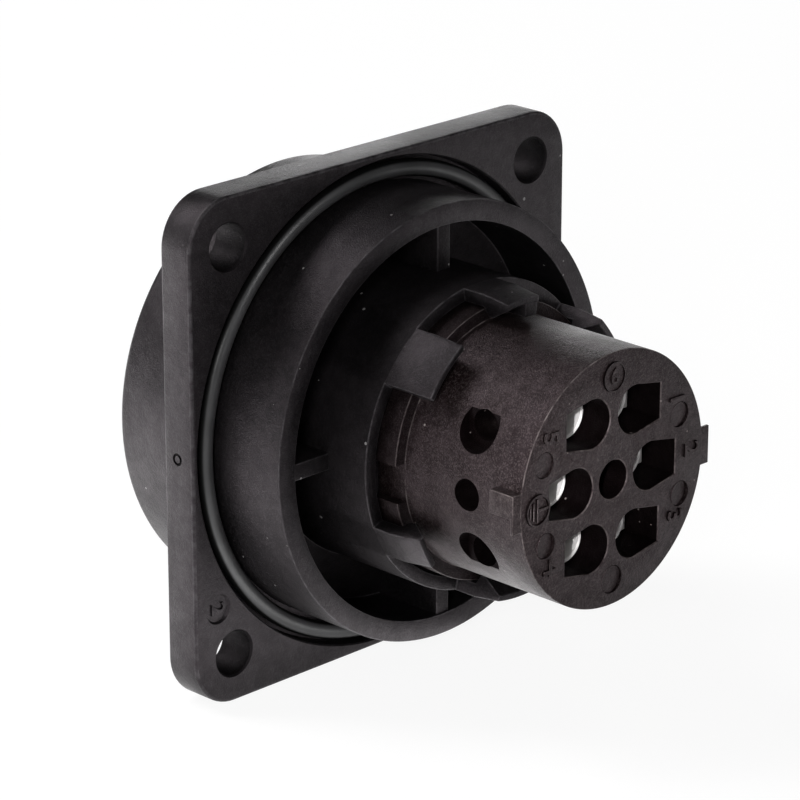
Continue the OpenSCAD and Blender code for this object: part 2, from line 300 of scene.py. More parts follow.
def buildDustSpecks(s):
    # scattered pale specks: a few cells of a cell pattern carry one each
    tree, given, out = newGroup("dustSpecks", {"Cells": 900.0, "Share": 0.1, "Size": 0.09}, ("Mask",))
    distance, cells = addCells(tree, given["Vector"], given["Cells"])
    chosen = addMath(tree, "LESS_THAN", cells["Red"], given["Share"])
    radius = addMath(tree, "MULTIPLY", given["Size"], addMath(tree, "ADD", cells["Green"], s["smallest"]))
    inside = addMath(tree, "LESS_THAN", distance, radius)
    shade = addMath(tree, "ADD", addMath(tree, "MULTIPLY", cells["Blue"], s["shadeSpread"]), s["faintest"])
    tree.links.new(addMath(tree, "MULTIPLY", addMath(tree, "MULTIPLY", chosen, inside), shade), out["Mask"])
    return tree


wornHighlightPatches = {"noise": (4.0, 0.65), "range": (0.3, 0.75)}


def buildEdgeWearHighlight(s):
    # rounded edges are paler in patches: partly rubbed wear, partly painted highlight
    tree, given, out = newGroup("edgeWearHighlight", {"Rim": 0.0, "Patch Scale": 1300.0, "Amount": 0.5}, ("Mask",))
    patch = addRange(tree, addNoise(tree, given["Vector"], given["Patch Scale"], *s["noise"]), *s["range"])
    amount = addMath(tree, "MULTIPLY", given["Amount"], given["Rim"])
    tree.links.new(addMath(tree, "MULTIPLY", patch, amount, clamp=True), out["Mask"])
    return tree


mouldGrain = buildMouldGrain(mouldSkin)
dustSpecks = buildDustSpecks(speckShape)
edgeWearHighlight = buildEdgeWearHighlight(wornHighlightPatches)


def startFinish(name):
    material = bpy.data.materials.new(name)
    material.use_nodes = True
    tree = material.node_tree
    place = tree.nodes.new("ShaderNodeTexCoord").outputs["Object"]
    return material, tree, tree.nodes["Principled BSDF"].inputs, place


def addGroup(tree, group, vector, values):
    node = tree.nodes.new("ShaderNodeGroup")
    node.node_tree = group
    feed(tree, node.inputs["Vector"], vector)
    for label, value in values.items():
        feed(tree, node.inputs[label], value)
    return node.outputs


def addSkin(tree, place, look):
    scales = {"Grain Scale": look["grainScale"], "Cloud Scale": look["cloudScale"]}
    return addGroup(tree, mouldGrain, place, scales)


def addSpecks(tree, place, look):
    cells, share, size = look["specks"]
    return addGroup(tree, dustSpecks, place, {"Cells": cells, "Share": share, "Size": size})["Mask"]


def addBump(tree, shader, height, look):
    bump = tree.nodes.new("ShaderNodeBump")
    for label, value in (("Strength", look["bump"]), ("Distance", look["bumpDepth"]), ("Height", height)):
        feed(tree, bump.inputs[label], value)
    tree.links.new(bump.outputs["Normal"], shader["Normal"])


# Black housing plastic and brown-black insert plastic

# painted shade: faces with a rim value below 0 are darkened, rougher and lose sheen
paintedShadeFaces = {"rougher": 0.2, "lessSheen": 0.7}   # where the rim value is -1

housingLook = {
    "dark": (0.0012, 0.0011, 0.0012), "light": (0.0022, 0.0020, 0.0022),
    "grainScale": 9500.0, "cloudScale": 150.0, "grainTint": 0.4, "grainColor": (0.0070, 0.0064, 0.0070),
    "specks": (800.0, 0.45, 0.075), "dustColor": (0.34, 0.33, 0.33),
    "wearHighlight": 0.6, "wornHighlightColor": (0.09, 0.085, 0.09), "roughness": 0.43, "roughSpread": 0.05,
    "specular": 0.38, "sheen": (1.0, 0.86, 0.94), "mottle": 0.14, "bump": 0.7, "bumpDepth": 0.00008,
    "sparkle": 0.5, "sparkleColor": (0.022, 0.021, 0.022),
}
insertLook = {
    "dark": (0.0013, 0.0006, 0.0006), "light": (0.0024, 0.0012, 0.0012),
    "grainScale": 11000.0, "cloudScale": 260.0, "grainTint": 0.5, "grainColor": (0.012, 0.0065, 0.0065),
    "specks": (1100.0, 0.25, 0.08), "dustColor": (0.24, 0.21, 0.20),
    "wearHighlight": 0.9, "wornHighlightColor": (0.13, 0.112, 0.110), "roughness": 0.37, "roughSpread": 0.05,
    "specular": 0.32, "sheen": (1.0, 0.77, 0.84), "mottle": 0.22, "bump": 0.9, "bumpDepth": 0.00009,
    "sparkle": 0.65, "sparkleColor": (0.050, 0.040, 0.040),
}


def mouldedPlastic(name, look):
    material, tree, shader, place = startFinish(name)
    skin, specks = addSkin(tree, place, look), addSpecks(tree, place, look)
    rim = tree.nodes.new("ShaderNodeAttribute")
    rim.attribute_type, rim.attribute_name = "GEOMETRY", "rim"
    # painted shade: darker colour, more roughness and less sheen where the rim value is below 0
    paintedShade = addMath(tree, "MULTIPLY", rim.outputs["Fac"], -1.0, clamp=True)
    rounded = addMath(tree, "MULTIPLY", rim.outputs["Fac"], 1.0, clamp=True)
    # worn and painted highlight on rounded edges, in patches
    wornHighlight = addGroup(tree, edgeWearHighlight, place, {"Rim": rounded, "Amount": look["wearHighlight"]})["Mask"]
    grain = addMath(tree, "MULTIPLY", skin["Grain"], look["grainTint"])
    sparkle = addMath(tree, "MULTIPLY", skin["Sparkle"], look["sparkle"])
    color = mixColor(tree, skin["Cloud"], look["dark"], look["light"])
    for mask, over in ((grain, "grainColor"), (sparkle, "sparkleColor"), (paintedShade, "dark"),
                       (wornHighlight, "wornHighlightColor"), (specks, "dustColor")):
        color = mixColor(tree, mask, color, look[over])
    tree.links.new(color, shader["Base Color"])
    rough = addSpread(tree, skin["Cloud"], look["roughness"], look["roughSpread"], look["roughSpread"])
    rough = addMath(tree, "ADD", rough, addMath(tree, "MULTIPLY", paintedShade, paintedShadeFaces["rougher"]))
    tree.links.new(rough, shader["Roughness"])
    change = look["specular"] * look["mottle"]
    sheen = addSpread(tree, skin["Mottle"], look["specular"], change, change)
    kept = addMath(tree, "SUBTRACT", 1.0, addMath(tree, "MULTIPLY", paintedShade, paintedShadeFaces["lessSheen"]))
    tree.links.new(addMath(tree, "MULTIPLY", sheen, kept), shader["Specular IOR Level"])
    feed(tree, shader["Specular Tint"], look["sheen"])
    addBump(tree, shader, skin["Height"], look)
    return material


housingPlastic = mouldedPlastic("housingPlastic", housingLook)
insertPlastic = mouldedPlastic("insertPlastic", insertLook)


# Seal rubber: plain grey rubber, with painted shade that turns its flanks deeper in the groove near black and
# takes their sheen

rubberLook = {"dark": (0.032, 0.032, 0.033), "light": (0.050, 0.050, 0.052), "grooveShadeColor": (0.003, 0.003, 0.003),
              "grooveShadeRange": (-0.00003, 0.00016), "crestSpecular": 0.55, "grooveShadeSpecular": 0.1,
              "grainScale": 3800.0, "cloudScale": 260.0, "specks": (800.0, 0.03, 0.07),
              "dustColor": (0.18, 0.18, 0.18), "roughness": 0.36, "smoother": 0.03, "rougher": 0.06,
              "bump": 0.08, "bumpDepth": 0.00004}


def sealRubberFinish(look):
    material, tree, shader, place = startFinish("sealRubber")
    skin, specks = addSkin(tree, place, look), addSpecks(tree, place, look)
    # painted shade: past the crest, deeper in the groove, colour and sheen fall off
    grooveShade = addRange(tree, axisPlace(tree, place), *look["grooveShadeRange"])
    color = mixColor(tree, skin["Cloud"], look["dark"], look["light"])
    color = mixColor(tree, grooveShade, color, look["grooveShadeColor"])
    tree.links.new(mixColor(tree, specks, color, look["dustColor"]), shader["Base Color"])
    specular = addRange(tree, grooveShade, 0.0, 1.0, look["crestSpecular"], look["grooveShadeSpecular"])
    tree.links.new(specular, shader["Specular IOR Level"])
    rough = addSpread(tree, skin["Grain"], look["roughness"], look["smoother"], look["rougher"])
    tree.links.new(rough, shader["Roughness"])
    addBump(tree, shader, skin["Height"], look)
    return material


sealRubber = sealRubberFinish(rubberLook)


# Turned metals: fine tool rings round the turning axis, with a slight tarnish

turnedSkin = {"grainScale": 2600.0, "cloudScale": 420.0, "distortion": 1.5, "detail": 2.0, "tarnish": 0.5,
              "smoother": 0.05, "rougher": 0.08, "bump": 0.12, "bumpDepth": 0.00003, "pinsFrom": (-0.003, 0.0)}
silverLook = {"tint": (0.80, 0.778, 0.774), "shade": (0.66, 0.637, 0.625), "roughness": 0.38,
              "ringScale": 900.0, "turnedAlong": "Y", "barrelMetal": 0.2}
steelLook = {"tint": (0.62, 0.61, 0.58), "shade": (0.42, 0.40, 0.37), "roughness": 0.34,
             "ringScale": 700.0, "turnedAlong": "X", "barrelMetal": 1.0}


def turnedMetal(name, look, s):
    material, tree, shader, place = startFinish(name)
    skin = addSkin(tree, place, s)
    rings = tree.nodes.new("ShaderNodeTexWave")
    rings.wave_type, rings.bands_direction = "BANDS", look["turnedAlong"]
    for label, value in (("Vector", place), ("Scale", look["ringScale"]), ("Distortion", s["distortion"]),
                         ("Detail", s["detail"])):
        feed(tree, rings.inputs[label], value)
    tarnish = addMath(tree, "MULTIPLY", skin["Cloud"], s["tarnish"])
    tree.links.new(mixColor(tree, tarnish, look["tint"], look["shade"]), shader["Base Color"])
    rough = addSpread(tree, skin["Grain"], look["roughness"], s["smoother"], s["rougher"])
    tree.links.new(rough, shader["Roughness"])
    # wire barrels are left less metallic than the pins in front of the panel
    metal = addRange(tree, axisPlace(tree, place), *s["pinsFrom"], look["barrelMetal"], 1.0)
    tree.links.new(metal, shader["Metallic"])
    addBump(tree, shader, rings.outputs["Fac"], s)
    return material


contactSilver = turnedMetal("contactSilver", silverLook, turnedSkin)
screwSteel = turnedMetal("screwSteel", steelLook, turnedSkin)
print("finishes ready")


# Flange: rounded square plate with screw holes, the seal groove and two sunk marks

flangePlate = {"half": 18.0, "cornerRadius": 3.5, "cornerSteps": 14, "thickness": 2.8, "edge": 0.22,
               "holeAt": 14.5, "holeRadius": 1.6, "holeFlare": 0.12, "holeDraft": 0.13, "holeShade": -0.75,
               "grooveOuter": 17.5, "grooveDepth": 1.2, "grooveFlare": 0.1, "grooveSoft": 0.12,
               "insideRadius": 15.2, "markAt": (-15.9, -10.84), "markRadius": 1.03, "markDepth": 0.18,
               "markAbove": 0.2, "markSlope": 0.08,
               "sideMark": (1.5, 0.13), "sideMarkRadii": (0.24, 0.44), "sideMarkDepth": 0.09}


def makePlate(s):
    bm = bmesh.new()
    bmesh.ops.create_grid(bm, x_segments=1, y_segments=1, size=s["half"])
    upright = Matrix.Rotation(math.radians(90), 3, "X")
    bmesh.ops.rotate(bm, verts=bm.verts[:], cent=(0, 0, 0), matrix=upright)
    bmesh.ops.bevel(bm, geom=bm.verts[:], offset=s["cornerRadius"], offset_type="OFFSET",
                    segments=s["cornerSteps"], profile=0.5, affect="VERTICES", clamp_overlap=True, material=-1)
    grown = bmesh.ops.extrude_face_region(bm, geom=bm.faces[:], use_keep_orig=True)["geom"]
    bmesh.ops.translate(bm, vec=(0, s["thickness"], 0), verts=onlyVerts(grown))
    closeShape(bm)
    softenEdges(bm, s["edge"], segments=3, angle=60.0)
    return bm


def makePlateCutters(s):
    cutters, below = bmesh.new(), -s["thickness"] - spare
    r, flare = s["holeRadius"], s["holeFlare"]
    hole = turnShape([(0, spare), (r + flare + spare, spare), (r, -flare), (r - s["holeDraft"], below),
                      (0, below)], step=6.0)
    # painted shade on the screw holes' walls and flared mouths
    markAll(hole, s["holeShade"])
    for x in (-1, 1):
        for z in (-1, 1):
            placeCopy(cutters, hole, Matrix.Translation((x * s["holeAt"], 0, z * s["holeAt"])))
    hole.free()
    r, flare, soft = s["grooveOuter"], s["grooveFlare"], s["grooveSoft"]
    depth, inside = s["grooveDepth"], s["insideRadius"]
    groove = [(0, spare), (r + flare + spare, spare), (r, -flare), (r, soft - depth), (r - soft, -depth),
              (inside, -depth), (inside, below), (0, below)]
    gather(cutters, turnShape(groove, step=2.0))
    r, depth, above = s["markRadius"], s["markDepth"], s["markAbove"]
    mark = turnShape([(0, above), (r + above, above), (r - s["markSlope"], -depth), (0, -depth)], step=8.0)
    gather(cutters, mark, Matrix.Translation((s["markAt"][0], 0, s["markAt"][1])))
    ring, (inner, outer), low = bmesh.new(), s["sideMarkRadii"], -s["sideMarkDepth"]
    spinSection(ring, [(inner, low), (outer, low), (outer, spare), (inner, spare)], step=11.25)
    closeShape(ring)
    # painted shade in the sunk ring
    markAll(ring, -1.0)
    turned = Matrix.Rotation(math.radians(-90), 4, "Z")   # from along -Y to along -X
    gather(cutters, ring, Matrix.Translation((-s["half"], *s["sideMark"])) @ turned)
    return cutters


# Turned part of the housing: shell, web, collar and the tube with its snap fingers

turnedBody = {"shellBore": 13.8, "shellRadius": 15.6, "shellFront": -10.2, "shellRound": 0.6, "web": 2.0,
              "collarBore": 14.1, "collarHeight": 5.8, "ledgeRadius": 9.0, "ledgeHeight": 7.8, "tubeBore": 10.0,
              "tubeRadius": 10.95, "tubeHeight": 9.2, "soft": 0.08, "step": 1.8, "troughShade": -0.6,
              "hookBase": 10.9, "hookRadius": 9.35, "hookFlat": (0.33, 0.77),
              "fingerTip": 13.2, "fingerTaper": 0.3, "tipInside": 0.24,   # fingers: start and arc in degrees
              "fingers": [(22.0, 22.0), (82.5, 16.5), (124.0, 23.0), (201.0, 14.0), (257.5, 22.0),
                          (314.0, 23.0)]}


def bodySection(s, withFinger):
    bore, radius, front, soft = s["shellBore"], s["shellRadius"], s["shellFront"], s["shellRound"]
    collar, outer, inner = s["collarBore"], s["tubeRadius"], s["tubeBore"]
    points = [(s["ledgeRadius"], -s["web"]), (bore, -s["web"])]
    points += quarterRound((bore + soft, front + soft), soft, first=180.0)
    points += quarterRound((radius - soft, front + soft), soft, first=270.0)
    points += [(radius, s["collarHeight"]), (collar, s["collarHeight"]), (collar, 0.0), (outer, 0.0),
               (outer, s["tubeHeight"])]
    if withFinger:
        base, tip, hook, (low, high) = s["hookBase"], s["fingerTip"], s["hookRadius"], s["hookFlat"]
        points += [(outer, base), (outer - s["fingerTaper"], tip), (inner + s["tipInside"], tip),
                   (hook, base + high), (hook, base + low), (inner, base)]
    return points + [(inner, s["tubeHeight"]), (inner, s["ledgeHeight"]), (s["ledgeRadius"], s["ledgeHeight"])]


def makeTurnedBody(s):
    bm = bmesh.new()
    fingers = s["fingers"]
    for (at, arc), (after, _) in zip(fingers, fingers[1:] + [(fingers[0][0] + 360.0, 0.0)]):
        spinSection(bm, bodySection(s, True), at, arc, s["step"])
        spinSection(bm, bodySection(s, False), at + arc, after - at - arc, s["step"])
    closeShape(bm, fill=True)
    softenEdges(bm, s["soft"])
    # painted shade in the trough behind the collar: its faces are darkened and lose sheen
    rim = rimLayer(bm)
    for face in bm.faces:
        middle = face.calc_center_median()
        out = math.hypot(middle.x, middle.z)
        top = s["tubeHeight"] if out < s["tubeRadius"] + 2 * margin else s["collarHeight"]
        between = s["tubeRadius"] - margin < out < s["collarBore"] + margin
        if face[rim] == 0.0 and between and 2 * margin > middle.y > -top:
            face[rim] = s["troughShade"]
    return bm


# Ribs, keys and the stop beside one finger

mouldedDetails = {"ribThickness": 1.2, "ribFrom": 10.5, "ribTo": 14.85, "ribTop": 5.65, "ribFoot": 1.0,
                  "ribEdge": 0.5, "ribShade": -0.5, "soft": 0.08, "stopAt": 82.5, "stopArc": 6.5,
                  "stopRadii": (9.25, 10.48), "stopHeights": (11.48, 13.1),
                  "notchKey": ((-10.48, -8.8, -1.85), (-9.35, -7.3, 0.55)),
                  "shellKey": ((-1.1, 1.0, 12.7), (1.1, 8.4, 14.7)), "shellKeySoft": 0.15}


def addMouldedDetails(bm, s):
    half = s["ribThickness"] / 2
    rib = makeBox((s["ribFrom"], -s["ribTop"], -half), (s["ribTo"], s["ribFoot"], half), s["soft"])
    rim = rimLayer(rib)
    # ribs in the trough: painted shade on their faces, worn and painted highlight at half strength on their
    # rounded edges
    for face in rib.faces:
        face[rim] = s["ribEdge"] if face[rim] else s["ribShade"]
    for quarter in range(4):
        placeCopy(bm, rib, Matrix.Rotation(math.radians(90 * quarter), 4, wiringAxis))
    rib.free()
    stop, (inner, outer), (foot, top) = bmesh.new(), s["stopRadii"], s["stopHeights"]
    section = [(inner, foot), (outer, foot), (outer, top), (inner, top)]
    spinSection(stop, section, s["stopAt"], s["stopArc"], step=1.5)
    closeShape(stop, fill=True)
    softenEdges(stop, s["soft"])
    gather(bm, stop)
    gather(bm, makeBox(*s["notchKey"], s["soft"]))
    gather(bm, makeBox(*s["shellKey"], s["shellKeySoft"]))


housing = carve(makePlate(flangePlate), makePlateCutters(flangePlate))
gather(housing, makeTurnedBody(turnedBody))
addMouldedDetails(housing, mouldedDetails)
keepPiece("housingMoulding", housing, housingPlastic, "receptacle", ("housing",))


# Seal ring in the groove

sealRing = {"ringRadius": 16.55, "cordRadius": 0.62, "height": -0.50, "cordSteps": 32, "ringSteps": 200}


def makeSealRing(s):
    bm = bmesh.new()
    bmesh.ops.create_circle(bm, cap_ends=False, segments=s["cordSteps"], radius=s["cordRadius"])
    bmesh.ops.translate(bm, vec=(s["ringRadius"], -s["height"], 0), verts=bm.verts[:])
    bmesh.ops.spin(bm, geom=bm.verts[:] + bm.edges[:], cent=(0, 0, 0), axis=wiringAxis, dvec=(0, 0, 0),
                   angle=math.radians(360), steps=s["ringSteps"], use_merge=True)
    closeShape(bm)
    return bm


keepPiece("panelSealRing", makeSealRing(sealRing), sealRubber, "receptacle", ("panel_seal",))


# Insert that carries the contacts

# side (1 right, -1 left), distance from the middle and height of each terminal
terminalPlaces = {"1": (1, 2.1, 4.38), "2": (1, 3.7, 0.0), "3": (1, 2.1, -4.38),
                  "4": (-1, 2.1, -4.38), "5": (-1, 2.1, 4.38), "earth": (-1, 3.7, 0.0)}

insertCarrier = {"radius": 8.9, "rear": 21.3, "nose": -3.0, "noseSoft": 0.3, "loopBelow": 5.0, "step": 1.8,
                 "shoulderRadius": 9.8, "shoulder": (7.8, 10.8), "shoulderShade": -0.6,
                 "soft": 0.06, "softBelow": 2.0, "notch": ((-10.5, -11.5, -2.0), (-8.9, -7.0, 0.7)),
                 "chamberRadius": 1.66, "chamberFoot": 12.55, "chamberBelow": 1.0,
                 "shankRadius": 1.26, "shankPast": 0.5,
                 "entryRadius": 1.7, "entryReach": 2.46, "entryHalf": 1.26, "entryFoot": 14.55,
                 "entryArc": (72.0, 216.0), "entrySteps": 28, "flare": 0.07,
                 "screwHeight": 16.5, "accessRadius": 1.1, "accessFrom": 2.3, "accessTo": 10.0,
                 "counterRadius": 1.6, "counterAt": 7.1,
                 "centreRadius": 1.35, "centreDepth": 10.0, "centrePoint": 0.5,
                 "keyFrom": 7.5, "keyReach": 9.6, "keyWidth": 1.65, "keyLength": 2.1, "keySunk": 0.02,
                 "keyFaceHighlight": 0.2, "lipWidth": 2.7, "lip": 0.25,   # marks: place, radius and tilt
                 "marks": [(6.5, 2.9, 0.9, 0.08), (6.66, -2.78, 0.9, 0.15), (-6.7, 2.75, 0.9, 0.06),
                           (-6.5, -2.88, 0.9, 0.17), (0.0, -7.09, 1.0, 0.09)],
                 "markDepth": 0.3, "markSunk": 0.08, "markLean": 0.05,
                 "plugFoot": 0.4, "plugGap": 0.01, "plugSoft": 0.06,
                 "padAt": (-0.15, 7.2), "padRadius": 0.98, "padHeight": 0.06, "padSoft": 0.03}


def sideOf(place):
    # turns a shape made for the right side to the place of one terminal
    side, x, z = place
    turned = Matrix.Identity(4) if side > 0 else Matrix.Rotation(math.radians(180), 4, wiringAxis)
    return Matrix.Translation((side * x, 0, z)) @ turned


def markWalls(bm, s):
    # walls of a hole get painted shade, its flared mouth is a rounded edge with worn and painted highlight
    rim = rimLayer(bm)
    for face in bm.faces:
        flared = abs(face.normal.y) < squareOn and face.calc_center_median().y < s["flare"] - s["rear"]
        face[rim] = 1.0 if flared else -1.0
    return bm


def makeCarrierBody(s):
    r, rear, nose, soft = s["radius"], s["rear"], s["nose"], s["noseSoft"]
    wide, (low, high) = s["shoulderRadius"], s["shoulder"]
    points = [(0, nose), (r - soft, nose), (r, nose + soft), (r, low), (wide, low), (wide, high), (r, high),
              (r, rear - s["loopBelow"]), (r, rear), (0, rear)]
    bm = turnShape(points, s["step"])
    softenEdges(bm, s["soft"], wanted=lambda e: e.calc_length() < s["softBelow"])
    # painted shade on the shoulder, seen in the gaps between the fingers
    rim = rimLayer(bm)
    for face in bm.faces:
        if low - margin < -face.calc_center_median().y < high + margin and face[rim] == 0.0:
            face[rim] = s["shoulderShade"]
    return carve(bm, makeBox(*s["notch"]))


def makeEntryCutter(s):
    # round over the barrel, straight sides that end over the screw boss, a flared mouth
    bm = bmesh.new()
    r, reach, half, steps = s["entryRadius"], s["entryReach"], s["entryHalf"], s["entrySteps"]
    first, arc = s["entryArc"]
    angles = [math.radians(first + arc * i / steps) for i in range(steps + 1)]
    outline = [(r * math.cos(a), r * math.sin(a)) for a in angles] + [(reach, -half), (reach, half)]
    foot = bm.faces.new([bm.verts.new((x, -s["entryFoot"], z)) for x, z in outline])
    loop = foot
    for height, spread in ((s["rear"] - s["flare"], 0.0), (s["rear"] + spare, s["flare"] + spare)):
        grown = bmesh.ops.extrude_face_region(bm, geom=[loop], use_keep_orig=True)["geom"]
        if loop is not foot:
            bmesh.ops.delete(bm, geom=[loop], context="FACES_ONLY")
        loop = [g for g in grown if isinstance(g, bmesh.types.BMFace)][0]
        moved = onlyVerts(grown)
        level = sum(v.co.y for v in moved) / len(moved)
        bmesh.ops.translate(bm, vec=(0, -height - level, 0), verts=moved)
        widen = Vector(((reach + r + 2 * spread) / (reach + r), 1.0, (r + spread) / r))
        middle = Matrix.Translation((r - (reach + r) / 2, 0, 0))
        bmesh.ops.scale(bm, vec=widen, space=middle, verts=moved)
    closeShape(bm)
    return markWalls(bm, s)


def makeChamberCutter(s):
    # barrel chamber and the shank's hole through the nose
    narrow, wide, foot = s["shankRadius"], s["chamberRadius"], s["chamberFoot"]
    low, high = s["nose"] - s["shankPast"], s["rear"] - s["chamberBelow"]
    points = [(0, low), (narrow, low), (narrow, foot), (wide, foot), (wide, high), (0, high)]
    return markWalls(turnShape(points, step=7.5), s)


def makeAccessCutter(s, x, counter):
    # driver hole along X at the screw's height, with a counterbore on the outer rows
    narrow, wide, low, high = s["accessRadius"], s["counterRadius"], s["accessFrom"], s["accessTo"]
    level = s["counterAt"] - x
    mouth = [(narrow, level), (wide, level), (wide, high)] if counter else [(narrow, high)]
    bm = turnShape([(0, low), (narrow, low)] + mouth + [(0, high)], step=7.5)
    bmesh.ops.transform(bm, matrix=alongX(s["screwHeight"]), verts=bm.verts[:])
    return markWalls(bm, s)


def makeCentreCutter(s):
    r, rear, flare, low = s["centreRadius"], s["rear"], s["flare"], s["rear"] - s["centreDepth"]
    points = [(0, low - s["centrePoint"]), (r, low), (r, rear - flare), (r + flare + spare, rear + spare),
              (0, rear + spare)]
    return markWalls(turnShape(points, step=6.0), s)


def makeSideKey(s):
    # block with a thin lip at the rear, just under the wiring face
    bm = bmesh.new()
    rear, low, high = s["keySunk"] - s["rear"], -s["lipWidth"] / 2, s["lipWidth"] / 2
    lip, foot, top = rear + s["lip"], rear + s["keyLength"], low + s["keyWidth"]
    outline = [(rear, low), (rear, high), (lip, high), (lip, top), (foot, top), (foot, low)]
    side = bm.faces.new([bm.verts.new((s["keyFrom"], y, z)) for y, z in outline])
    grown = bmesh.ops.extrude_face_region(bm, geom=[side], use_keep_orig=True)["geom"]
    bmesh.ops.translate(bm, vec=(s["keyReach"] - s["keyFrom"], 0, 0), verts=onlyVerts(grown))
    closeShape(bm)
    softenEdges(bm, s["soft"])
    # painted highlight: the key's outer face is lightened through the edge wear patches
    rim = rimLayer(bm)
    for face in bm.faces:
        if face.normal.x > squareOn:
            face[rim] = s["keyFaceHighlight"]
    return bm


def makeMark(s, mark):
    # ejector mark: a cut, and the sunk and tilted plug that fills it
    x, z, radius, tilt = mark
    rear, floor, foot = s["rear"], s["rear"] - s["markDepth"], s["rear"] - s["plugFoot"]
    inner, soft = radius - s["plugGap"], s["plugSoft"]
    cut = turnShape([(0, floor), (radius, floor), (radius, rear + spare), (0, rear + spare)], step=7.5)
    plug = turnShape([(0, foot), (inner, foot), (inner, rear - soft), (radius - soft, rear), (0, rear)],
                     step=7.5)
    for v in plug.verts:
        if v.co.y < -floor:
            v.co.y += s["markSunk"] + (tilt * v.co.x - s["markLean"] * v.co.z) / radius
    for shape in (cut, plug):
        bmesh.ops.translate(shape, vec=(x, 0, z), verts=shape.verts[:])
    return cut, plug


def makePad(s):
    # raised disc under a mould number
    r, soft, low, high = s["padRadius"], s["padSoft"], s["rear"] - spare, s["rear"] + s["padHeight"]
    return turnShape([(0, low), (r, low), (r, high - soft), (r - soft, high), (0, high)], step=9.0)


def makeInsert(s):
    chambers, entries, holes = bmesh.new(), bmesh.new(), bmesh.new()
    chamber, entry = makeChamberCutter(s), makeEntryCutter(s)
    for place in terminalPlaces.values():
        placeCopy(chambers, chamber, sideOf(place))
        placeCopy(entries, entry, sideOf(place))
        gather(holes, makeAccessCutter(s, place[1], place[2] != 0.0), sideOf(place))
    chamber.free()
    entry.free()
    gather(entries, makeCentreCutter(s))
    marks = [makeMark(s, mark) for mark in s["marks"]]
    for cut, _ in marks:
        gather(entries, cut)
    bm = carve(carve(carve(makeCarrierBody(s), chambers), entries), holes)
    for _, plug in marks:
        gather(bm, plug)
    key = makeSideKey(s)
    for turnedBy in (0, 180):
        placeCopy(bm, key, Matrix.Rotation(math.radians(turnedBy), 4, wiringAxis))
    key.free()
    gather(bm, makePad(s), Matrix.Translation((s["padAt"][0], 0, s["padAt"][1])))
    return bm


keepPiece("contactCarrier", makeInsert(insertCarrier), insertPlastic, "receptacle",
          ("insert_body",))


# Contacts: wire barrel with a screw boss, shank and pin

contactShape = {"barrelRadius": 1.6, "mouth": 19.05, "foot": 12.55, "footSoft": 0.2, "soft": 0.1,
                "boreRadius": 1.35, "boreDepth": 5.4, "boreFoot": 0.3,
                "shankRadius": 1.2, "shankEnd": -3.0, "pinRadius": 1.0, "pinLength": 5.4, "earthLead": 1.0,
                "bossReach": 2.4, "bossHalf": 1.2, "boss": (14.55, 18.45), "bossSoft": 0.12,
                "screwHeight": 16.5, "screwHole": 1.05, "screwHoleTo": 4.0}


def makeContactBody(s, extra):
    r, pin, shank, soft = s["barrelRadius"], s["pinRadius"], s["shankRadius"], s["soft"]
    end, foot, footSoft, mouth = s["shankEnd"], s["foot"], s["footSoft"], s["mouth"]
    tip = end - s["pinLength"] - extra
    points = quarterRound((0, tip + pin), pin, first=270.0, steps=9)
    points += [(pin, end - soft), (shank, end), (shank, foot), (r - footSoft, foot), (r, foot + footSoft),
               (r, mouth - soft), (r - soft, mouth), (0, mouth)]
    return turnShape(points, step=6.0)


def makeContact(s, extra):
    low, high = s["boss"]
    boss = makeBox((0, -high, -s["bossHalf"]), (s["bossReach"], -low, s["bossHalf"]), s["bossSoft"])
    bm = carve(makeContactBody(s, extra), boss, "UNION")
    r, mouth, soft, step = s["boreRadius"], s["mouth"], s["soft"], s["boreFoot"]
    floor = mouth - s["boreDepth"]
    bore = turnShape([(0, floor), (r - step, floor), (r, floor + step), (r, mouth - soft),
                      (r + soft + spare, mouth + spare), (0, mouth + spare)], step=6.0)
    bm = carve(bm, bore)
    r, top = s["screwHole"], s["screwHoleTo"]
    hole = turnShape([(0, 0.0), (r, 0.0), (r, top), (0, top)], step=9.0)
    bmesh.ops.transform(hole, matrix=alongX(s["screwHeight"]), verts=hole.verts[:])
    return carve(bm, hole)


plainContact = makeContact(contactShape, 0.0)
earthContact = makeContact(contactShape, contactShape["earthLead"])
for name, place in terminalPlaces.items():
    part = bmesh.new()
    placeCopy(part, earthContact if name == "earth" else plainContact, sideOf(place))
    keepPiece("turnedContact." + name, part, contactSilver, "receptacle",
              ("contact_" + name,))
plainContact.free()
earthContact.free()


# Terminal screws: thread ridges and a driver slot, set open

clampScrew = {"radius": 1.0, "root": 0.84, "from": 1.4, "length": 1.5, "pitch": 0.25, "soft": 0.08,
              "plainEnd": 0.1, "slotWidth": 0.4, "slotDepth": 0.6, "height": 16.5}


def makeScrew(s):
    radius, root, soft, pitch = s["radius"], s["root"], s["soft"], s["pitch"]
    end = s["from"] + s["length"]
    points = [(0, s["from"]), (root, s["from"])]
    at = s["from"] + soft
    while at + pitch < end - s["plainEnd"]:
        points += [(root, at), (radius, at + pitch / 2)]
        at += pitch
    points += [(root, at), (radius, end - soft), (radius - soft, end), (0, end)]
    half, wide = s["slotWidth"] / 2, 2 * radius
    slot = makeBox((-wide, -end - radius, -half), (wide, s["slotDepth"] - end, half))
    bm = carve(turnShape(points, step=10.0), slot)
    bmesh.ops.transform(bm, matrix=alongX(s["height"]), verts=bm.verts[:])
    return bm


screwBlank = makeScrew(clampScrew)
for name, place in terminalPlaces.items():
    part = bmesh.new()
    placeCopy(part, screwBlank, sideOf(place))
    keepPiece("clampScrew." + name, part, screwSteel, "screw_" + name,
              ("terminal_screw_" + name,))
screwBlank.free()


# Moulded signs: terminal digits, the earth sign, a ring and two mould numbers

